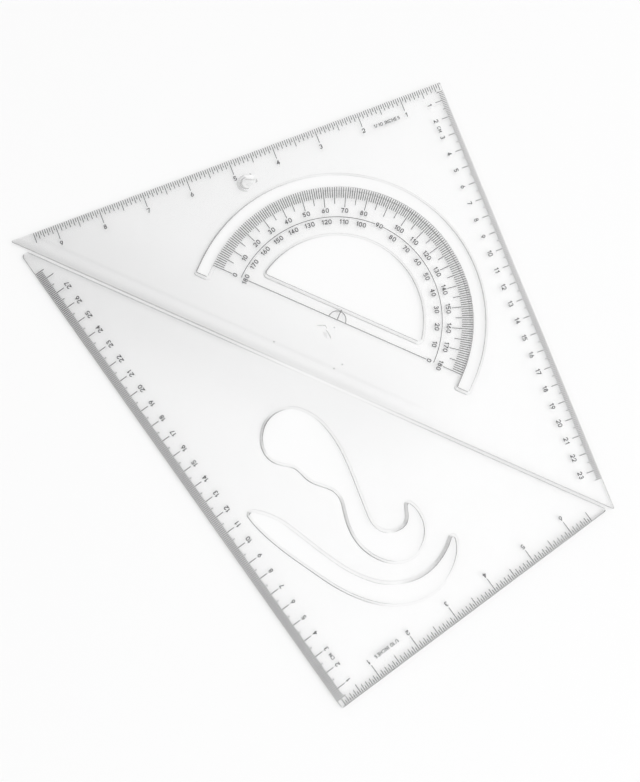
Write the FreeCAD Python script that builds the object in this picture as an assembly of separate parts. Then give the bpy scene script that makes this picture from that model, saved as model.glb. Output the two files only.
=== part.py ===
import FreeCAD, Part
import math
import os

# A pair of clear plastic set squares lying flat, hypotenuse to hypotenuse.
# X runs along both hypotenuses, Y points at the 45 degree square's right angle,
# Z is up, and Z = 0 is the underside that lies on the paper. Millimetres.

os.makedirs("parts", exist_ok=True)
V = FreeCAD.Vector
INCH = 25.4
CENTIMETRE = 10.0

# ---- the two plates ----
plate_thickness = 2.0
edge_break = 0.35            # small slope round the top edges, also those of the cut-outs
seam_gap = 1.45              # between the two hypotenuses as they lie
leg_45 = 254.0               # both legs of the 45 degree square, 10 inches
long_leg_60 = 304.8          # long leg of the 30/60 degree square, 12 inches
right_angle_radius = 1.2     # plan rounding of the right angles and the 60 degree corner
tip_radius_45 = 0.6
tip_radius_30 = 2.3

# ---- walls of every cut-out: upright at the top, then undercut outwards to the underside ----
upright_wall = 0.8           # from the top face down, the edge break included
undercut_width = 1.9

# ---- protractor slot and D window of the 45 degree square ----
protractor_shift = 2.1       # centre of the arcs, from the middle of the hypotenuse
protractor_height = 33.3     # centre of the arcs, above the hypotenuse
slot_radius = 74.6           # inner wall of the arc slot
slot_width = 6.4
slot_tail = 7.0              # straight ends of the slot, below the baseline
slot_corner_radius = 0.6
window_radius = 47.0
window_rise = 7.4            # flat side of the window, above the baseline
window_corner_radius = 1.6

# ---- French-curve cut-outs of the 30/60 degree square ----
# Points are fractions of the hypotenuse: along it from its middle, then down from it.
curve_tip_radius = 0.8

HOOK_TIP = (0.2171, -0.1134)
HOOK_OUT, HOOK_IN = -13.0, -62.0     # directions of the two walls that meet at the tip
HOOK = [
    (0.2256, -0.1154), (0.2341, -0.1188), (0.2426, -0.1242), (0.2512, -0.1324),
    (0.2571, -0.1418), (0.2608, -0.1526), (0.2617, -0.1654), (0.2600, -0.1781),
    (0.2540, -0.1887), (0.2435, -0.1980), (0.2293, -0.2043), (0.2137, -0.2063),
    (0.1966, -0.2049), (0.1739, -0.1969), (0.1526, -0.1810), (0.1370, -0.1622),
    (0.1242, -0.1475), (0.1085, -0.1404), (0.0929, -0.1404), (0.0773, -0.1418),
    (0.0631, -0.1401), (0.0503, -0.1350), (0.0375, -0.1327), (0.0233, -0.1355),
    (0.0105, -0.1375), (-0.0023, -0.1355), (-0.0145, -0.1276), (-0.0242, -0.1128),
    (-0.0278, -0.0943), (-0.0222, -0.0744), (-0.0108, -0.0617), (0.0020, -0.0548),
    (0.0176, -0.0526), (0.0375, -0.0548), (0.0574, -0.0619), (0.0858, -0.0787),
    (0.1142, -0.1026), (0.1426, -0.1304), (0.1639, -0.1514), (0.1781, -0.1639),
    (0.1909, -0.1696), (0.2037, -0.1699), (0.2151, -0.1648), (0.2250, -0.1551),
    (0.2296, -0.1426), (0.2267, -0.1307), (0.2211, -0.1208),
]

BLADE_LEFT, BLADE_RIGHT = (0.0043, -0.2276), (0.2995, -0.1304)
BLADE_LEFT_LOW, BLADE_LEFT_HIGH = -30.0, 38.0
BLADE_RIGHT_OUT, BLADE_RIGHT_IN = -38.0, -84.0
BLADE_INNER = [
    (0.0176, -0.2216), (0.0347, -0.2196), (0.0574, -0.2208), (0.0858, -0.2270),
    (0.1284, -0.2372), (0.1654, -0.2444), (0.1995, -0.2463), (0.2293, -0.2424),
    (0.2591, -0.2290), (0.2813, -0.2088), (0.2941, -0.1861), (0.3000, -0.1625),
    (0.3009, -0.1441),
]
BLADE_OUTER = [
    (0.3074, -0.1378), (0.3131, -0.1483), (0.3171, -0.1639), (0.3174, -0.1838),
    (0.3137, -0.2037), (0.3032, -0.2253), (0.2804, -0.2492), (0.2492, -0.2648),
    (0.2108, -0.2716), (0.1710, -0.2708), (0.1284, -0.2640), (0.0716, -0.2526),
    (0.0290, -0.2395),
]

# ---- printing, a thin layer of ink on the top faces ----
ink_thickness = 0.04
tick_inset = 0.55            # from the plate's edge to the outer end of the ticks
figure_height = 2.6
label_height = 2.0
stroke_fraction = 0.15       # width of a pen stroke over the height of a character
letter_gap = 0.16            # clear space between characters, over their height

inch_tick_width_45 = 0.31
cm_tick_width_45 = 0.3
inch_tick_width_60 = 0.31
cm_tick_width_60 = 0.36
inch_tick_ends_45 = (3.0, 4.6, 6.2, 8.8)  # twentieth, tenth, half and whole inch, from the edge
inch_tick_ends_60 = (2.6, 4.1, 5.9, 8.8)
inch_figure_line = 11.1                   # centre of the figures, from the edge
inch_steps = 20                           # ticks in an inch
inch_start_steps = 2
inch_label_place = 1.46                   # middle of the label, in inches along the scale

cm_tick_ends_45 = (3.1, 4.2, 6.8)         # millimetre, half centimetre, centimetre
cm_tick_ends_60 = (4.4, 5.7, 8.7)
cm_figure_line_45 = 10.3
cm_figure_line_60 = 11.4
cm_steps = 10
cm_start_steps = 5
cm_label_place = 2.5                      # middle of the label, in centimetres

inch_zero_45 = -0.9          # where each scale's zero lies along its leg, from the right angle
cm_zero_45 = 0.5
inch_zero_60 = 0.2
cm_zero_60 = -0.2
inch_blank_45 = 12.7         # length of each leg left blank beyond the last tick
cm_blank_45 = 19.0
inch_blank_60 = 10.9
cm_blank_60 = 19.8

degree_tick_width = 0.32
degree_tick_lengths = (6.0, 9.5, 11.3)    # one, five and ten degrees
outer_figure_line = 13.1                  # middle of the outer figures, in from the ticks' ends
inner_figure_line = 19.5
ring_line = 16.8                          # thin arc between the two rows of figures
ring_gap = 0.1                            # between the slot's edge break and the degree ticks
line_width = 0.3
crown_degree = 90            # the ring's top, where one figure stands for both rows
centre_mark_radius = 4.9
centre_mark_height = 6.1

# ---- sizes that follow from the ones above ----
half_hypotenuse_45 = leg_45 / math.sqrt(2.0)
altitude_45 = half_hypotenuse_45
short_leg_60 = long_leg_60 * math.tan(math.radians(30.0))
hypotenuse_60 = long_leg_60 / math.cos(math.radians(30.0))
altitude_60 = long_leg_60 * math.sin(math.radians(30.0))

# The rounding of each right angle lowers the top and the bottom of the pair a little.
top_45 = altitude_45 - right_angle_radius * (math.sqrt(2.0) - 1.0)
bottom_60 = altitude_60 - right_angle_radius * (math.sqrt(2.0) * math.cos(math.radians(15.0)) - 1.0)
seam_y = (bottom_60 - top_45) / 2.0
base_45 = seam_y + seam_gap / 2.0
base_60 = seam_y - seam_gap / 2.0
top_face = plate_thickness
ring_radius = slot_radius - edge_break - ring_gap


def direction(degrees):
    angle = math.radians(degrees)
    return V(math.cos(angle), math.sin(angle), 0.0)


# ---- plan outlines ----
def rounded_outline(corners, radii):
    """Closed wire of straight sides joined by tangent arcs."""
    count = len(corners)
    joins = []
    for i in range(count):
        before = (corners[i - 1] - corners[i]).normalize()
        after = (corners[(i + 1) % count] - corners[i]).normalize()
        half = before.getAngle(after) / 2.0
        reach = radii[i] / math.tan(half)
        bisector = (before + after).normalize()
        middle = corners[i] + bisector * (radii[i] / math.sin(half) - radii[i])
        joins.append((corners[i] + before * reach, middle, corners[i] + after * reach))
    edges = []
    for i in range(count):
        start, middle, end = joins[i]
        edges.append(Part.Arc(start, middle, end).toShape())
        edges.append(Part.makeLine(end, joins[(i + 1) % count][0]))
    return Part.Wire(edges)


def tip_arc(tip, direction_in, direction_out, spread):
    """Rounding of a pointed tip; the directions run from the tip along its two walls."""
    wall_in = direction(direction_in)
    wall_out = direction(direction_out)
    bisector = (wall_in + wall_out).normalize()
    half = wall_in.getAngle(wall_out) / 2.0
    centre = tip + bisector * (curve_tip_radius / math.sin(half))
    reach = curve_tip_radius / math.tan(half)
    grow = (curve_tip_radius + spread) / curve_tip_radius
    start = centre + (tip + wall_in * reach - centre) * grow
    end = centre + (tip + wall_out * reach - centre) * grow
    return start, centre - bisector * (curve_tip_radius + spread), end


def smooth_curve(points, leaving, arriving):
    """Spline through the points that sets out and ends in the two unit directions."""
    between = len(points) - 2
    curve = Part.BSplineCurve()
    curve.interpolate(Points=points, Tangents=[leaving] * (between + 1) + [arriving],
                      TangentFlags=[True] + [False] * between + [True], Scale=False)
    return curve


def wall_edge(points, leaving, arriving, spread):
    """Smooth stretch of a clockwise outline, moved outwards by the spread."""
    curve = smooth_curve(points, leaving, arriving)
    moved = []
    for point in points:
        along = curve.tangent(curve.parameter(point))[0]
        moved.append(point + V(-along.y, along.x, 0) * spread)
    return smooth_curve(moved, leaving, arriving).toShape()


def curve_points(fractions):
    return [V(x * hypotenuse_60, base_60 + y * hypotenuse_60, 0.0) for x, y in fractions]


def hook_outline(spread):
    tip = curve_points([HOOK_TIP])[0]
    foot = tip_arc(tip, HOOK_IN, HOOK_OUT, 0.0)
    arc = tip_arc(tip, HOOK_IN, HOOK_OUT, spread)
    points = [foot[2]] + curve_points(HOOK) + [foot[0]]
    wall = wall_edge(points, direction(HOOK_OUT), direction(HOOK_IN) * -1.0, spread)
    return Part.Wire([Part.Arc(*arc).toShape(), wall])


def blade_outline(spread):
    left, right = curve_points([BLADE_LEFT, BLADE_RIGHT])
    left_foot = tip_arc(left, BLADE_LEFT_LOW, BLADE_LEFT_HIGH, 0.0)
    right_foot = tip_arc(right, BLADE_RIGHT_IN, BLADE_RIGHT_OUT, 0.0)
    inner = [left_foot[2]] + curve_points(BLADE_INNER) + [right_foot[0]]
    outer = [right_foot[2]] + curve_points(BLADE_OUTER) + [left_foot[0]]
    return Part.Wire([
        Part.Arc(*tip_arc(left, BLADE_LEFT_LOW, BLADE_LEFT_HIGH, spread)).toShape(),
        wall_edge(inner, direction(BLADE_LEFT_HIGH), direction(BLADE_RIGHT_IN) * -1.0, spread),
        Part.Arc(*tip_arc(right, BLADE_RIGHT_IN, BLADE_RIGHT_OUT, spread)).toShape(),
        wall_edge(outer, direction(BLADE_RIGHT_OUT), direction(BLADE_LEFT_LOW) * -1.0, spread),
    ])


def protractor_centre():
    return V(protractor_shift, base_45 + protractor_height, 0.0)


def corner_join(corner, toward_a, toward_b, radius):
    """Arc that rounds a square corner; returns its start, middle and end."""
    bisector = (toward_a + toward_b).normalize()
    middle = corner + bisector * (radius * (math.sqrt(2.0) - 1.0))
    return corner + toward_a * radius, middle, corner + toward_b * radius


def slot_outline(spread):
    """Half ring with straight tails and square ends, drawn anticlockwise from the right."""
    centre = protractor_centre()
    inner_radius = slot_radius - spread
    outer_radius = slot_radius + slot_width + spread
    left, right = V(-1, 0, 0), V(1, 0, 0)
    up, down = V(0, 1, 0), V(0, -1, 0)
    tail = down * (slot_tail + spread)
    r = slot_corner_radius + spread
    right_outer = corner_join(centre + right * outer_radius + tail, left, up, r)
    left_outer = corner_join(centre + left * outer_radius + tail, up, right, r)
    left_inner = corner_join(centre + left * inner_radius + tail, left, up, r)
    right_inner = corner_join(centre + right * inner_radius + tail, up, right, r)
    return Part.Wire([
        Part.Arc(*right_outer).toShape(),
        Part.makeLine(right_outer[2], centre + right * outer_radius),
        Part.Arc(centre + right * outer_radius, centre + up * outer_radius,
                 centre + left * outer_radius).toShape(),
        Part.makeLine(centre + left * outer_radius, left_outer[0]),
        Part.Arc(*left_outer).toShape(),
        Part.makeLine(left_outer[2], left_inner[0]),
        Part.Arc(*left_inner).toShape(),
        Part.makeLine(left_inner[2], centre + left * inner_radius),
        Part.Arc(centre + left * inner_radius, centre + up * inner_radius,
                 centre + right * inner_radius).toShape(),
        Part.makeLine(centre + right * inner_radius, right_inner[0]),
        Part.Arc(*right_inner).toShape(),
        Part.makeLine(right_inner[2], right_outer[0]),
    ])


def window_outline(spread):
    """D shape: an arc over a flat side, with rounded corners."""
    centre = protractor_centre()
    radius = window_radius + spread
    r = window_corner_radius + spread
    corner_y = window_rise + window_corner_radius
    corner_x = math.sqrt((radius - r) ** 2 - corner_y ** 2)
    lean = math.atan2(corner_y, corner_x)
    turn = (lean - math.radians(90.0)) / 2.0
    up = V(0, 1, 0)
    corners = []
    for side in (1, -1):
        corner = centre + V(side * corner_x, corner_y, 0)
        on_arc = V(side * math.cos(lean), math.sin(lean), 0)
        half_way = V(side * math.cos(turn), math.sin(turn), 0)
        corners.append((corner - up * r, corner + half_way * r, corner + on_arc * r))
    right, left = corners
    return Part.Wire([
        Part.makeLine(left[0], right[0]),
        Part.Arc(*right).toShape(),
        Part.Arc(right[2], centre + up * radius, left[2]).toShape(),
        Part.Arc(*reversed(left)).toShape(),
    ])


# ---- plates ----
def raise_wire(wire, height):
    lifted = wire.copy()
    lifted.translate(V(0, 0, height))
    return lifted


def cut_opening(plate, outline):
    """Upright wall, the small slope at its top and the undercut that widens it downwards."""
    through = outline(0.0)
    shaft = Part.Face(through).extrude(V(0, 0, plate_thickness))
    lip = raise_wire(through, plate_thickness - upright_wall)
    flare = Part.makeLoft([outline(undercut_width), lip], True, True)
    slope_foot = raise_wire(through, plate_thickness - edge_break)
    slope_top = raise_wire(outline(edge_break), plate_thickness)
    slope = Part.makeLoft([slope_foot, slope_top], True, True)
    return plate.cut(shaft).cut(flare).cut(slope)


def plate_blank(outline):
    blank = Part.Face(outline).extrude(V(0, 0, plate_thickness))
    top_edges = [e for e in blank.Edges if e.BoundBox.ZMin > plate_thickness - edge_break]
    return blank.makeChamfer(edge_break, top_edges)


def plate_45():
    outline = rounded_outline(
        [V(-half_hypotenuse_45, base_45, 0), V(half_hypotenuse_45, base_45, 0),
         V(0, base_45 + altitude_45, 0)],
        [tip_radius_45, tip_radius_45, right_angle_radius])
    plate = plate_blank(outline)
    for opening in (slot_outline, window_outline):
        plate = cut_opening(plate, opening)
    return plate


def corner_60():
    """The right angle of the 30/60 degree square; its 30 degree tip is at the left."""
    along = long_leg_60 * math.cos(math.radians(30.0)) - hypotenuse_60 / 2.0
    return V(along, base_60 - altitude_60, 0)


def plate_60():
    outline = rounded_outline(
        [V(-hypotenuse_60 / 2.0, base_60, 0), corner_60(), V(hypotenuse_60 / 2.0, base_60, 0)],
        [tip_radius_30, right_angle_radius, right_angle_radius])
    plate = plate_blank(outline)
    for opening in (hook_outline, blade_outline):
        plate = cut_opening(plate, opening)
    return plate


# ---- lettering: each character is a few pen strokes on a grid one character high ----
# ("line", x0, y0, x1, y1) is a stroke with square ends, ("curve", x, y, r, from, to) a ring
# sector with its angles in degrees. Strokes are given along their middle line.
LOW, HIGH, LEFT, RIGHT = 0.09, 0.91, 0.09, 0.61
STROKES = {
    "0": [("curve", 0.35, 0.65, 0.26, 0, 180), ("curve", 0.35, 0.35, 0.26, 180, 360),
          ("stem", LEFT, 0.35, LEFT, 0.65), ("stem", RIGHT, 0.35, RIGHT, 0.65)],
    "1": [("line", 0.40, LOW, 0.40, HIGH), ("line", 0.20, 0.74, 0.40, HIGH)],
    "2": [("curve", 0.35, 0.65, 0.26, -40, 180), ("line", 0.55, 0.49, LEFT, LOW),
          ("line", LEFT, LOW, RIGHT, LOW)],
    "3": [("curve", 0.33, 0.70, 0.21, -100, 160), ("curve", 0.33, 0.29, 0.23, -160, 100)],
    "4": [("line", 0.46, LOW, 0.46, HIGH), ("line", 0.46, HIGH, LEFT, 0.32),
          ("line", LEFT, 0.32, 0.62, 0.32)],
    "5": [("line", 0.14, HIGH, 0.58, HIGH), ("line", 0.14, HIGH, 0.12, 0.54),
          ("curve", 0.33, 0.34, 0.26, -150, 140)],
    "6": [("curve", 0.35, 0.34, 0.25, 0, 360), ("line", 0.13, 0.44, 0.42, HIGH)],
    "7": [("line", LEFT, HIGH, RIGHT, HIGH), ("line", RIGHT, HIGH, 0.28, LOW)],
    "8": [("curve", 0.35, 0.70, 0.20, -60, 240), ("curve", 0.35, 0.31, 0.23, 0, 360)],
    "9": [("curve", 0.35, 0.66, 0.25, 0, 360), ("line", 0.58, 0.60, 0.30, LOW)],
    "C": [("curve", 0.35, 0.65, 0.26, 10, 180), ("curve", 0.35, 0.35, 0.26, 180, 350),
          ("stem", LEFT, 0.35, LEFT, 0.65)],
    "M": [("line", 0.09, LOW, 0.09, HIGH), ("line", 0.09, HIGH, 0.42, 0.34),
          ("line", 0.42, 0.34, 0.75, HIGH), ("line", 0.75, HIGH, 0.75, LOW)],
    "I": [("line", 0.09, LOW, 0.09, HIGH)],
    "N": [("line", LEFT, LOW, LEFT, HIGH), ("line", LEFT, HIGH, RIGHT, LOW),
          ("line", RIGHT, LOW, RIGHT, HIGH)],
    "H": [("line", LEFT, LOW, LEFT, HIGH), ("line", RIGHT, LOW, RIGHT, HIGH),
          ("line", LEFT, 0.50, RIGHT, 0.50)],
    "E": [("line", LEFT, LOW, LEFT, HIGH), ("line", LEFT, HIGH, 0.56, HIGH),
          ("line", LEFT, 0.50, 0.52, 0.50), ("line", LEFT, LOW, 0.56, LOW)],
    "S": [("curve", 0.35, 0.70, 0.21, 20, 280), ("curve", 0.35, 0.30, 0.21, -160, 100)],
    "/": [("line", 0.09, LOW, 0.45, HIGH)],
}
WIDTHS = {"1": 0.49, "I": 0.18, "M": 0.84, "/": 0.54}
NORMAL_WIDTH = 0.70
SPACE_WIDTH = 0.30


def pen_line(x0, y0, x1, y1, width, overrun):
    start, end = V(x0, y0, 0), V(x1, y1, 0)
    along = (end - start).normalize()
    across = V(-along.y, along.x, 0) * (width / 2.0)
    start = start - along * overrun
    end = end + along * overrun
    corners = [start - across, end - across, end + across, start + across]
    return Part.Face(Part.makePolygon(corners + corners[:1]))


def pen_curve(x, y, radius, start, end, width):
    centre, up = V(x, y, 0), V(0, 0, 1)
    inner, outer = radius - width / 2.0, radius + width / 2.0
    if end - start == 360:
        disc = Part.Face(Part.Wire(Part.makeCircle(outer, centre, up)))
        counter = Part.Face(Part.Wire(Part.makeCircle(inner, centre, up)))
        return disc.cut(counter).Faces[0]
    rim = Part.makeCircle(outer, centre, up, start, end)
    hub = Part.makeCircle(inner, centre, up, start, end)
    a, b = direction(start), direction(end)
    return Part.Face(Part.Wire([
        rim, Part.makeLine(centre + b * outer, centre + b * inner),
        hub, Part.makeLine(centre + a * inner, centre + a * outer)]))


def character(name, height):
    """One solid character, its lower left corner at the origin."""
    pieces = []
    for stroke in STROKES[name]:
        width = stroke_fraction * height
        if stroke[0] == "curve":
            x, y, radius = (value * height for value in stroke[1:4])
            face = pen_curve(x, y, radius, stroke[4], stroke[5], width)
        else:
            ends = [value * height for value in stroke[1:5]]
            overrun = width / 2.0 if stroke[0] == "line" else 0.0
            face = pen_line(*ends, width, overrun)
        pieces.append(face.extrude(V(0, 0, ink_thickness)))
    solid = pieces[0]
    if len(pieces) > 1:
        solid = solid.multiFuse(pieces[1:]).removeSplitter()
    return solid


CHARACTERS = {}


def place(shape, origin, right, up):
    """Copy of a shape with its X along right and its Y along up, standing on the top face."""
    out = right.cross(up)
    matrix = FreeCAD.Matrix(
        right.x, up.x, out.x, origin.x,
        right.y, up.y, out.y, origin.y,
        right.z, up.z, out.z, origin.z + top_face,
        0, 0, 0, 1)
    copy = shape.copy()
    copy.Placement = FreeCAD.Placement(matrix)
    return copy


def write_text(text, centre, up, height):
    """Characters of a line of text, centred on a point, read with their tops towards up."""
    right = V(up.y, -up.x, 0)
    widths = [SPACE_WIDTH if c == " " else WIDTHS.get(c, NORMAL_WIDTH) for c in text]
    length = (sum(widths) + letter_gap * (len(text) - 1)) * height
    pen = centre - right * (length / 2.0) - up * (height / 2.0)
    solids = []
    for name, width in zip(text, widths):
        if name != " ":
            key = (name, height)
            if key not in CHARACTERS:
                CHARACTERS[key] = character(name, height)
            solids.append(place(CHARACTERS[key], pen, right, up))
        pen = pen + right * ((width + letter_gap) * height)
    return solids


# ---- straight scales along the legs ----
class Scale:
    """A row of ticks and figures along one leg, counted from the right angle."""

    def __init__(self, corner, along, inward, zero, leg, blank, unit, steps, first):
        self.corner, self.along, self.inward = corner + along * zero, along, inward
        self.unit, self.steps, self.first = unit, steps, first
        self.last = int(round((leg - blank) / unit * steps))

    def point(self, units, depth):
        return self.corner + self.along * (units * self.unit) + self.inward * depth

    def ticks(self, width, end_of):
        solids = []
        for number in range(self.first, self.last + 1):
            length = end_of(number) - tick_inset
            bar = Part.makeBox(width, length, ink_thickness, V(-width / 2.0, 0, 0))
            start = self.point(number / self.steps, tick_inset + length)
            up = self.inward * -1.0
            solids.append(place(bar, start, V(up.y, -up.x, 0), up))
        return Part.makeCompound(solids)

    def figures(self, line, label, label_place, final=None):
        up = self.inward * -1.0
        last = final if final else self.last // self.steps
        solids = []
        for value in range(1, last + 1):
            solids += write_text(str(value), self.point(value, line), up, figure_height)
        solids += write_text(label, self.point(label_place, line), up, label_height)
        return Part.makeCompound(solids)


def inch_tick_end(ends):
    def end_of(number):
        if number % inch_steps == 0:
            return ends[3]
        if number % (inch_steps // 2) == 0:
            return ends[2]
        return ends[1] if number % 2 == 0 else ends[0]
    return end_of


def cm_tick_end(ends):
    def end_of(number):
        if number % cm_steps == 0:
            return ends[2]
        return ends[1] if number % (cm_steps // 2) == 0 else ends[0]
    return end_of


# ---- protractor printing ----
def bar(start, end, width):
    """Straight printed line between two points of the plan."""
    up = (end - start).normalize()
    solid = Part.makeBox(width, start.distanceToPoint(end), ink_thickness, V(-width / 2.0, 0, 0))
    return place(solid, start, V(up.y, -up.x, 0), up)


def ring_sector(radius, start, end, width):
    face = pen_curve(0, 0, radius, start, end, width)
    solid = face.extrude(V(0, 0, ink_thickness))
    return place(solid, protractor_centre(), V(1, 0, 0), V(0, 1, 0))


def degree_ring():
    centre = protractor_centre()
    solids = []
    for degree in range(1, 180):
        short, medium, long = degree_tick_lengths
        length = long if degree % 10 == 0 else medium if degree % 5 == 0 else short
        ray = direction(degree)
        inner_end = centre + ray * (ring_radius - length)
        solids.append(bar(inner_end, centre + ray * ring_radius, degree_tick_width))
    return solids


def text_reach(text):
    """Half the printed length of a line of figures."""
    widths = [WIDTHS.get(c, NORMAL_WIDTH) for c in text]
    return (sum(widths) + letter_gap * (len(text) - 1)) * figure_height / 2.0


def protractor_lines():
    """Baseline broken at its end figures, thin arc broken at the top figure, centre mark."""
    centre = protractor_centre()
    arc_radius = ring_radius - ring_line
    clear = figure_height / 2.0 + letter_gap * figure_height
    inner_end = ring_radius - inner_figure_line - clear
    outer_start = ring_radius - outer_figure_line + clear
    solids = []
    for side in (V(-1, 0, 0), V(1, 0, 0)):
        solids.append(bar(centre + side * outer_start, centre + side * ring_radius, line_width))
    mark = bar(centre + V(-inner_end, 0, 0), centre + V(inner_end, 0, 0), line_width)
    post = bar(centre, centre + V(0, centre_mark_height, 0), line_width)
    bow = ring_sector(centre_mark_radius, 0, 180, line_width)
    solids.append(mark.multiFuse([post, bow]).removeSplitter())
    gap = math.degrees((text_reach(str(crown_degree)) + letter_gap * figure_height) / arc_radius)
    solids.append(ring_sector(arc_radius, 0, crown_degree - gap, line_width))
    solids.append(ring_sector(arc_radius, crown_degree + gap, 180, line_width))
    return solids


def protractor_figures():
    centre = protractor_centre()
    solids = []
    for value in range(0, 181, 10):
        ray = direction(180.0 - value)
        if value == crown_degree:
            solids += write_text(str(value), centre + ray * (ring_radius - ring_line), ray, figure_height)
            continue
        outer = centre + ray * (ring_radius - outer_figure_line)
        inner = centre + ray * (ring_radius - inner_figure_line)
        solids += write_text(str(value), outer, ray, figure_height)
        solids += write_text(str(180 - value), inner, ray, figure_height)
    return Part.makeCompound(solids)


# ---- put the pair together ----
def leg_directions(corner, far_end):
    return (far_end - corner).normalize()


apex_45 = V(0, base_45 + altitude_45, 0)
left_leg_45 = leg_directions(apex_45, V(-half_hypotenuse_45, base_45, 0))
right_leg_45 = leg_directions(apex_45, V(half_hypotenuse_45, base_45, 0))
long_leg = leg_directions(corner_60(), V(-hypotenuse_60 / 2.0, base_60, 0))
short_leg = leg_directions(corner_60(), V(hypotenuse_60 / 2.0, base_60, 0))

inches_45 = Scale(apex_45, left_leg_45, right_leg_45, inch_zero_45,
                  leg_45, inch_blank_45, INCH, inch_steps, inch_start_steps)
centimetres_45 = Scale(apex_45, right_leg_45, left_leg_45, cm_zero_45,
                       leg_45, cm_blank_45, CENTIMETRE, cm_steps, cm_start_steps)
inches_60 = Scale(corner_60(), short_leg, long_leg, inch_zero_60,
                  short_leg_60, inch_blank_60, INCH, inch_steps, inch_start_steps)
centimetres_60 = Scale(corner_60(), long_leg, short_leg, cm_zero_60,
                       long_leg_60, cm_blank_60, CENTIMETRE, cm_steps, cm_start_steps)

nodes = {
    "set_square_45": plate_45(),
    "inch_ticks_45": inches_45.ticks(inch_tick_width_45, inch_tick_end(inch_tick_ends_45)),
    "inch_figures_45": inches_45.figures(inch_figure_line, "1/10 INCHES", inch_label_place),
    "cm_ticks_45": centimetres_45.ticks(cm_tick_width_45, cm_tick_end(cm_tick_ends_45)),
    "cm_figures_45": centimetres_45.figures(cm_figure_line_45, "CM", cm_label_place),
    "degree_ticks": Part.makeCompound(degree_ring()),
    "protractor_lines": Part.makeCompound(protractor_lines()),
    "degree_figures": protractor_figures(),
    "set_square_30_60": plate_60(),
    "inch_ticks_60": inches_60.ticks(inch_tick_width_60, inch_tick_end(inch_tick_ends_60)),
    "inch_figures_60": inches_60.figures(inch_figure_line, "1/10 INCHES", inch_label_place),
    "cm_ticks_60": centimetres_60.ticks(cm_tick_width_60, cm_tick_end(cm_tick_ends_60)),
    "cm_figures_60": centimetres_60.figures(cm_figure_line_60, "CM", cm_label_place,
                                            centimetres_60.last // cm_steps - 1),
}

for name, shape in nodes.items():
    shape.exportStep("parts/" + name + ".step")
    print(name, len(shape.Solids), "solids")
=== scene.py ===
import math

import bmesh
import bpy
from mathutils import Euler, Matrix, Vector


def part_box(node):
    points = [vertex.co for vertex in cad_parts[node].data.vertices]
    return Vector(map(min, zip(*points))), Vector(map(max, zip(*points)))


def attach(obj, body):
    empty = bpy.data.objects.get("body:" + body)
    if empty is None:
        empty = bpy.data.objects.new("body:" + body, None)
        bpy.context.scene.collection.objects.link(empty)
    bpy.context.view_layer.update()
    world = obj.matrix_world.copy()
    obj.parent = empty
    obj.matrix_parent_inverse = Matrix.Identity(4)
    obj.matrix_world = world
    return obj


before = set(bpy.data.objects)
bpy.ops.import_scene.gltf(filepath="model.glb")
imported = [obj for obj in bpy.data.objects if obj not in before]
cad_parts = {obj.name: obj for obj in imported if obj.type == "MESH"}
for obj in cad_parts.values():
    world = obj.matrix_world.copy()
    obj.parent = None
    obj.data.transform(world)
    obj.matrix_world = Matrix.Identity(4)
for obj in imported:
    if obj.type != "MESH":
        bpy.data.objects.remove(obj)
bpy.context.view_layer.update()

# A pair of clear plastic set squares with black printed scales, lying on white paper.
# Metres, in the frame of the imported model: X along both hypotenuses, Z up, Z = 0 the paper.

MM = 0.001
PLATES = ("set_square_45", "set_square_30_60")
TOP_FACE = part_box("set_square_45")[1].z


# ---- camera, fitted to the printed scales ----
IMAGE_HEIGHT = 782
FOCAL_PIXELS = 800
SENSOR = 36.0
NEAR_CLIP = 0.01
CAMERA_PLACE = (0.0230, -0.0515, 0.4331)
CAMERA_ANGLES = (4.684, -0.124, 24.015)


def place_camera():
    data = bpy.data.cameras.new("camera")
    data.sensor_fit = "AUTO"
    data.sensor_width = SENSOR
    data.lens = FOCAL_PIXELS * SENSOR / IMAGE_HEIGHT
    data.clip_start = NEAR_CLIP
    camera = bpy.data.objects.new("camera", data)
    camera.location = CAMERA_PLACE
    camera.rotation_euler = Euler([math.radians(a) for a in CAMERA_ANGLES])
    bpy.context.scene.collection.objects.link(camera)
    bpy.context.scene.camera = camera


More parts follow.
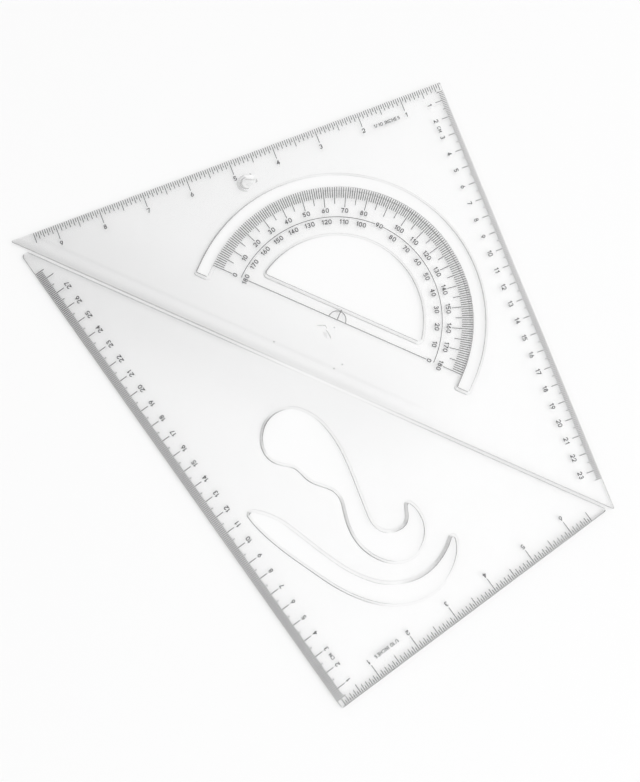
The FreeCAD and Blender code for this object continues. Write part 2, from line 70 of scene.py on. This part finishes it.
# ---- node helpers ----
class Look:
    """A material made of nodes, with short calls for the sums that its looks need."""

    def __init__(self, name):
        self.material = bpy.data.materials.new(name)
        self.material.use_nodes = True
        self.tree = self.material.node_tree
        self.tree.nodes.clear()

    def node(self, kind, **settings):
        node = self.tree.nodes.new("ShaderNode" + kind)
        for key, value in settings.items():
            setattr(node, key, value)
        return node

    def feed(self, socket, value):
        if isinstance(value, bpy.types.NodeSocket):
            self.tree.links.new(value, socket)
        else:
            socket.default_value = value

    def sum(self, operation, *values):
        node = self.node("Math", operation=operation)
        for socket, value in zip(node.inputs, values):
            self.feed(socket, value)
        return node.outputs[0]

    def product(self, *values):
        total = values[0]
        for value in values[1:]:
            total = self.sum("MULTIPLY", total, value)
        return total

    def choice(self, switch, when_on, when_off):
        return self.sum("MULTIPLY_ADD", switch, when_on - when_off, when_off)

    def vector(self, operation, first, second=None, result="Vector"):
        node = self.node("VectorMath", operation=operation)
        self.feed(node.inputs[0], first)
        if second is not None:
            self.feed(node.inputs["Scale" if operation == "SCALE" else 1], second)
        return node.outputs[result]

    def dot(self, first, second):
        return self.vector("DOT_PRODUCT", first, second, "Value")

    def split(self, vector):
        node = self.node("SeparateXYZ")
        self.feed(node.inputs[0], vector)
        return node.outputs

    def ramp(self, value, low, high, at_low, at_high):
        """Value carried smoothly from low..high to at_low..at_high and held at both ends."""
        node = self.node("MapRange", interpolation_type="SMOOTHSTEP")
        for name, number in (("Value", value), ("From Min", low), ("From Max", high),
                             ("To Min", at_low), ("To Max", at_high)):
            self.feed(node.inputs[name], number)
        return node.outputs["Result"]

    def grey(self, value):
        node = self.node("CombineColor")
        for channel in node.inputs:
            self.feed(channel, value)
        return node.outputs[0]

    def shader(self, kind, **inputs):
        node = self.node(kind)
        for name, value in inputs.items():
            self.feed(node.inputs[name.replace("_", " ")], value)
        return node.outputs[0]

    def mix(self, share, first, second):
        node = self.node("MixShader")
        for socket, value in zip(node.inputs, (share, first, second)):
            self.feed(socket, value)
        return node.outputs[0]

    def finish(self, surface):
        self.feed(self.node("OutputMaterial").inputs["Surface"], surface)
        return self.material


# ---- clear plastic, with painted shade ----
PHOTO_TURN = 24.0            # from the row frame's X to the right of the photo
PLASTIC_IOR = 1.49
WALL_IOR = 1.25              # the narrow walls mirror less of the room than the polished faces
POLISH = 0.08                # roughness of the reflections
SEAM = (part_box("set_square_45")[0].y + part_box("set_square_30_60")[1].y) / 2

# A ramp is: low, high, its value at low and its value at high.
# Ramps over the Z of a face's outward normal.
LEVEL_Z = (0.9, 0.995)
BESIDE_TOP = (*LEVEL_Z, 1.0, 0.0)
ABOVE_UNDERCUT = (-0.7, -0.5, 0.0, 1.0)
BESIDE_UNDERSIDE = (-0.99, -0.95, 0.0, 1.0)
UNDERCUT = (-0.7, -0.5, 1.0, 0.0)

# Ramps over the height above the paper, for the painted shade along the undercuts.
LOWER_LIP = (0.20 * MM, 0.34 * MM, 1.0, 0.0)
UPPER_PART = (0.1 * MM, 1.2 * MM, 0.0, 1.0)

# Ramps over the place along the seam, for the painted shade at the seam and the outer edge.
SEAM_LINE_LEFT = (-0.065, 0.005, 0.33, 0.03)
SEAM_LINE_RIGHT = (0.02, 0.09, 0.0, 0.24)
OUTER_LINE_END = (0.075, 0.11, 0.0, 0.15)
SEAM_SHADE_END = (0.02, 0.10, 1.0, 0.0)

# Headings and spreads in degrees.
SEAM_HEADINGS, SEAM_SPREAD = (64, 246), 30
OUTER_HEADING, OUTER_SPREAD = 21, 20

# Painted shade on the walls, darker for walls that face some ways, standing in for refraction and
# shadow:
# heading, spread in degrees, peak on the 45 square, peak on the 30/60 square.
LINE_LOBES = ((-22, 54, 0.38, 0.0), (-32, 52, 0.0, 0.56), (190, 60, 0.28, 0.0), (190, 50, 0.0, 0.5),
              (58, 36, 0.42, 0.0))
# Painted shade on the undercuts, in the same columns: a dark line along the lower lip, and a wider
# band.
LIP_LOBES = ((38, 48, 0.25, 0.5), (235, 60, 0.05, 0.08))
BAND_LOBES = ((-5, 50, 0.0, 0.21),)
UPPER_LOBES = ((-5, 50, 0.34, 0.0), (190, 45, 0.18, 0.0), (-50, 40, 0.15, 0.2))
LIP_EVERYWHERE = (0.08, 0.03)    # on the 45 square, on the 30/60 square

# Painted shade on the sheet itself: darker to the left and near the seam.
SHEET_WAY = (1.0, 0.2, 0.0)
SHEET_SHADE = (-0.20, 0.10, 0.028, 0.007)
NEAR_SEAM_SHADE = (8.0 * MM, 45.0 * MM, 0.016, 0.0)
# Painted shadow streaks along the seam.
SEAM_SHADOW_STREAKS = ((2.2, 3.5, 0.026), (9.0, 1.8, 0.014))    # mm above the seam, spread in mm, depth


def heading(degrees):
    """Unit vector in the plan, its angle counted from the right of the photo."""
    angle = math.radians(degrees + PHOTO_TURN)
    return (math.cos(angle), math.sin(angle), 0.0)


def lobe(look, facing, degrees, spread, peak):
    """Share that is highest for walls that look one way, and none beyond the spread."""
    near = look.dot(facing, heading(degrees))
    return look.ramp(near, math.cos(math.radians(spread)), 1.0, 0.0, peak)


def lobes(look, facing, on_45, table, start):
    """Sum of a table's lobes and of a share to start from."""
    total = start
    for degrees, spread, peak_45, peak_60 in table:
        peak = look.choice(on_45, peak_45, peak_60)
        total = look.sum("ADD", total, lobe(look, facing, degrees, spread, peak))
    return total


def wall_painted_shade(look, facing, on_45, nz, across):
    """Painted shade on the upright walls and the edge breaks, darker for walls that face some ways.
    """
    seam_line = look.sum("ADD", look.ramp(across, *SEAM_LINE_LEFT),
                         look.ramp(across, *SEAM_LINE_RIGHT))
    outer_line = look.product(on_45, look.ramp(across, *OUTER_LINE_END))
    line = lobes(look, facing, on_45, LINE_LOBES,
                 lobe(look, facing, OUTER_HEADING, OUTER_SPREAD, outer_line))
    for seam_heading in SEAM_HEADINGS:
        line = look.sum("ADD", line, lobe(look, facing, seam_heading, SEAM_SPREAD, seam_line))
    upright = look.product(look.ramp(nz, *BESIDE_TOP), look.ramp(nz, *ABOVE_UNDERCUT))
    return look.product(upright, line)


def undercut_painted_shade(look, facing, on_45, nz, height):
    """Painted shade on the undercut walls: a dark line along the lower lip, and a wider band."""
    lip = look.product(lobes(look, facing, on_45, LIP_LOBES, look.choice(on_45, *LIP_EVERYWHERE)),
                       look.ramp(height, *LOWER_LIP))
    upper = look.product(lobes(look, facing, on_45, UPPER_LOBES, 0.0),
                         look.ramp(height, *UPPER_PART))
    band = lobes(look, facing, on_45, BAND_LOBES, upper)
    under = look.product(look.ramp(nz, *BESIDE_UNDERSIDE), look.ramp(nz, *UNDERCUT))
    return look.product(under, look.sum("MAXIMUM", lip, band))


def sheet_painted_shade(look, place, above_seam, across):
    """Painted shade on the sheet: darker to the left and near the seam, with painted shadow
    streaks.
    """
    near = look.ramp(look.sum("ABSOLUTE", above_seam), *NEAR_SEAM_SHADE)
    for distance, spread, depth in SEAM_SHADOW_STREAKS:
        from_streak = look.sum("ABSOLUTE", look.sum("SUBTRACT", above_seam, distance * MM))
        near = look.sum("ADD", near, look.ramp(from_streak, 0.0, spread * MM, depth, 0.0))
    near = look.product(near, look.ramp(across, *SEAM_SHADE_END))
    return look.sum("ADD", look.ramp(look.dot(place, SHEET_WAY), *SHEET_SHADE), near)


def clear_plastic():
    look = Look("clear_plastic_look")
    geometry = look.node("NewGeometry")
    inside_out = look.sum("MULTIPLY_ADD", geometry.outputs["Backfacing"], -2.0, 1.0)
    outward = look.vector("SCALE", geometry.outputs["Normal"], inside_out)
    nz = look.split(outward)[2]
    facing = look.vector("NORMALIZE", look.vector("MULTIPLY", outward, (1.0, 1.0, 0.0)))
    place = look.node("TexCoord").outputs["Object"]
    across, up_the_plan, height = look.split(place)
    above_seam = look.sum("SUBTRACT", up_the_plan, SEAM)
    on_45 = look.sum("GREATER_THAN", above_seam, 0.0)

    walls = wall_painted_shade(look, facing, on_45, nz, across)
    undercuts = undercut_painted_shade(look, facing, on_45, nz, height)
    sheet = sheet_painted_shade(look, place, above_seam, across)
    # The painted shade from the walls, undercuts and sheet darkens the clear layer.
    painted_shade = look.sum("MAXIMUM", look.sum("MAXIMUM", walls, undercuts), sheet)
    clear = look.shader("BsdfTransparent", Color=look.grey(look.sum("SUBTRACT", 1.0, painted_shade)))
    gloss = look.shader("BsdfGlossy", Color=(1.0, 1.0, 1.0, 1.0), Roughness=POLISH)
    fresnel = look.node("Fresnel")
    index = look.ramp(look.sum("ABSOLUTE", nz), *LEVEL_Z, WALL_IOR, PLASTIC_IOR)
    look.feed(fresnel.inputs["IOR"], look.sum("POWER", index, inside_out))
    return look.finish(look.mix(fresnel.outputs[0], clear, gloss))


# ---- printing ink ----
INK_COLOUR = (0.02, 0.02, 0.024, 1.0)
INK_ROUGHNESS = 0.5


def printing_ink():
    look = Look("printing_ink_look")
    return look.finish(look.shader("BsdfPrincipled", Base_Color=INK_COLOUR,
                                   Roughness=INK_ROUGHNESS))


def give(node, material):
    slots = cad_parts[node].data.materials
    slots.clear()
    slots.append(material)


# ---- moulding mark with a painted highlight, and scuffs on the 45 degree square ----
RIDGE_HEIGHT = 0.03          # mm
# The light film is a painted highlight, the others are marks.
FILMS = {"dark": (0.32, 0.1), "soft": (0.18, 0.1), "faint": (0.08, 0.1), "light": (0.8, 1.0)}

# Name, film, centre, radius, first and last degree, greatest width, in millimetres.
ARCS = (
    ("gate_mark_rim", "dark", (-74.4, 70.0), 3.2, 120, 320, 1.4),
    ("gate_mark_halo", "soft", (-74.5, 69.9), 4.6, 135, 305, 1.9),
)
# Name, film, points of the middle line and the width at each, in millimetres.
STROKES = (
    ("gate_mark_pool", "faint", ((-74.4, 69.0), (-72.9, 69.6), (-71.2, 71.0)), (0.6, 2.4, 0.6)),
    # Painted highlight beside the moulding mark.
    ("gate_mark_glint", "light", ((-77.0, 72.7), (-75.0, 73.7), (-72.4, 74.7)), (1.6, 2.4, 1.8)),
    ("gate_mark_line", "soft", ((-76.0, 71.5), (-73.2, 72.6), (-70.6, 73.5)), (0.3, 0.7, 0.3)),
    ("gate_mark_end", "dark", ((-70.6, 74.3), (-69.8, 73.2), (-70.0, 72.2)), (0.3, 1.1, 0.3)),
    ("gate_mark_dot", "dark", ((-75.3, 75.2), (-74.7, 75.4), (-74.1, 75.5)), (0.3, 0.9, 0.3)),
    ("scuff_left", "dark", ((-6.6, 13.0), (-4.8, 14.0), (-2.6, 15.1), (-1.2, 14.0)),
     (0.2, 0.5, 0.5, 0.2)),
    ("scuff_right", "dark", ((-1.3, 12.9), (0.6, 12.0), (2.0, 11.0), (3.2, 9.6)),
     (0.2, 0.5, 0.6, 0.2)),
    ("scuff_smear", "faint", ((-2.2, 11.4), (-0.6, 10.6), (1.2, 8.9)), (0.4, 1.8, 0.4)),
)
SPECKS = ((2.5, 15.9), (-24.3, -4.6), (11.4, -4.7), (14.6, -0.8))
SPECK_REACH, SPECK_RISE, SPECK_WIDTHS = 0.5, 0.1, (0.2, 0.8, 0.2)


def film(name, share, tone):
    """A skin so thin that it only dims or brightens what lies under it; the light one is a painted
    highlight.
    """
    look = Look(name)
    clear = look.shader("BsdfTransparent", Color=(1.0, 1.0, 1.0, 1.0))
    tint = look.shader("BsdfDiffuse", Color=(tone, tone, tone, 1.0))
    return look.finish(look.mix(share, clear, tint))


def ribbon(name, centre_line, widths, material):
    """Low rounded ridge on the top face: points in millimetres, with its width at each."""
    shape = bmesh.new()
    rows = []
    last = len(centre_line) - 1
    for i, (x, y) in enumerate(centre_line):
        ahead = Vector(centre_line[min(i + 1, last)]) - Vector(centre_line[max(i - 1, 0)])
        side = Vector((-ahead.y, ahead.x)).normalized() * widths[i] / 2
        rows.append([shape.verts.new(((x + side.x * k) * MM, (y + side.y * k) * MM,
                                      TOP_FACE + RIDGE_HEIGHT * MM * (1 - k * k)))
                     for k in (-1.0, -0.5, 0.0, 0.5, 1.0)])
    for row, following in zip(rows, rows[1:]):
        for i in range(len(row) - 1):
            shape.faces.new((row[i], following[i], following[i + 1], row[i + 1]))
    mesh = bpy.data.meshes.new(name)
    shape.to_mesh(mesh)
    shape.free()
    for face in mesh.polygons:
        face.use_smooth = True
    mesh.materials.append(material)
    piece = bpy.data.objects.new(name, mesh)
    bpy.context.scene.collection.objects.link(piece)
    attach(piece, "set_square_45")


def arc_line(centre, radius, start, end, widest, count=18):
    """Points of an arc, and widths that swell to its middle."""
    points = []
    widths = []
    for i in range(count + 1):
        angle = math.radians(start + (end - start) * i / count)
        points.append((centre[0] + radius * math.cos(angle), centre[1] + radius * math.sin(angle)))
        widths.append(widest * (0.15 + 0.85 * math.sin(math.pi * i / count)))
    return points, widths


def add_marks():
    films = {name: film(f"mark_{name}_look", *looks) for name, looks in FILMS.items()}
    for name, kind, centre, radius, start, end, widest in ARCS:
        ribbon(name, *arc_line(centre, radius, start, end, widest), films[kind])
    for name, kind, points, widths in STROKES:
        ribbon(name, points, widths, films[kind])
    for number, (x, y) in enumerate(SPECKS):
        points = ((x - SPECK_REACH, y), (x, y + SPECK_RISE), (x + SPECK_REACH, y))
        ribbon(f"speck_{number}", points, SPECK_WIDTHS, films["dark"])


# ---- paper and light ----
PAPER_COLOUR = (0.96, 0.96, 0.96, 1.0)
FLOOR_HALF, FLOOR_LEVEL = 12.0, -0.0001
KEY_PLACE, KEY_SIZE, KEY_POWER = (2.6, -0.2, 2.4), 1.8, 19.6
GLOW_HEADING = (0.5, 0.15, 0.85)     # the way to the middle of the bright window
GLOW_EDGE, GLOW_FULL = 56.0, 30.0    # degrees from that heading
ROOM_DIM, ROOM_BRIGHT = 0.475, 1.55


def white_paper():
    look = Look("paper_look")
    return look.finish(look.shader("BsdfPrincipled", Base_Color=PAPER_COLOUR,
                                   Roughness=0.9, Specular_IOR_Level=0.1))


def lay_floor():
    mesh = bpy.data.meshes.new("floor")
    shape = bmesh.new()
    corners = [shape.verts.new((x * FLOOR_HALF, y * FLOOR_HALF, FLOOR_LEVEL)) for x, y in
               ((-1, -1), (1, -1), (1, 1), (-1, 1))]
    shape.faces.new(corners)
    shape.to_mesh(mesh)
    shape.free()
    floor = bpy.data.objects.new("floor", mesh)
    mesh.materials.append(white_paper())
    bpy.context.scene.collection.objects.link(floor)


def soft_light(name, place, target, size, power):
    data = bpy.data.lights.new(name, "AREA")
    data.shape = "DISK"
    data.size = size
    data.energy = power
    light = bpy.data.objects.new(name, data)
    light.location = place
    light.rotation_euler = (Vector(target) - Vector(place)).to_track_quat("-Z", "Y").to_euler()
    bpy.context.scene.collection.objects.link(light)


def light_room():
    world = bpy.data.worlds.new("room")
    world.use_nodes = True
    tree = world.node_tree
    background = tree.nodes["Background"]
    background.inputs["Color"].default_value = (1.0, 1.0, 1.0, 1.0)
    sky = tree.nodes.new("ShaderNodeTexCoord")
    toward = tree.nodes.new("ShaderNodeVectorMath")
    toward.operation = "DOT_PRODUCT"
    tree.links.new(sky.outputs["Generated"], toward.inputs[0])
    toward.inputs[1].default_value = Vector(GLOW_HEADING).normalized()
    glow = tree.nodes.new("ShaderNodeMapRange")
    glow.interpolation_type = "SMOOTHSTEP"
    tree.links.new(toward.outputs["Value"], glow.inputs["Value"])
    for name, value in (("From Min", math.cos(math.radians(GLOW_EDGE))),
                        ("From Max", math.cos(math.radians(GLOW_FULL))),
                        ("To Min", ROOM_DIM), ("To Max", ROOM_BRIGHT)):
        glow.inputs[name].default_value = value
    tree.links.new(glow.outputs["Result"], background.inputs["Strength"])
    bpy.context.scene.world = world
    soft_light("key", KEY_PLACE, (0, 0, 0), KEY_SIZE, KEY_POWER)


place_camera()
plastic = clear_plastic()
ink = printing_ink()
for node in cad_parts:
    give(node, plastic if node in PLATES else ink)
add_marks()
lay_floor()
light_room()
bpy.context.scene.view_settings.view_transform = "Standard"
